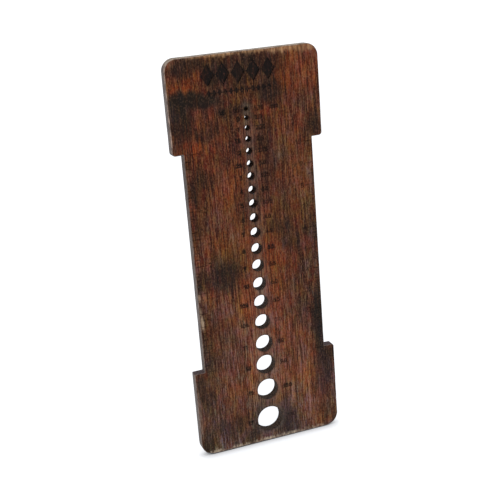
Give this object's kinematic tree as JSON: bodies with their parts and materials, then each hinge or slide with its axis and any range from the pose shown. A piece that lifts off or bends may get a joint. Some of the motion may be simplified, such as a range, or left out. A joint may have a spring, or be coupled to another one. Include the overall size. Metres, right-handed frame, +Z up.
{
  "type": "knitting needle gauge",
  "caption": "Flat laminated wood knitting needle gauge: I-shaped plate with a column of graded sizing holes, engraved size labels, and inch and centimetre rulers on its waist.",
  "frame": {"origin": "middle of the bottom edge, at mid thickness", "axes": "+Z up along the plate's length, +X across its width, the labelled face looks towards -Y"},
  "size_m": [0.07, 0.0044, 0.185],
  "materials": {
    "labelled_face_wood": "dark stained wood, open pores, satin oil",
    "cross_band_wood": "stained end grain, matt",
    "core_wood": "stained veneer edge, matt",
    "back_face_wood": "dark stained wood, open pores, satin oil",
    "glue_film": "cured dark resin, satin"
  },
  "bodies": {
    "root": {"front_face_veneer": "labelled_face_wood", "front_face_glue_film": "glue_film", "front_cross_band": "cross_band_wood", "front_core_glue_film": "glue_film", "core_veneer": "core_wood", "rear_core_glue_film": "glue_film", "rear_cross_band": "cross_band_wood", "back_face_glue_film": "glue_film", "back_face_veneer": "back_face_wood"}
  },
  "joints": []
}
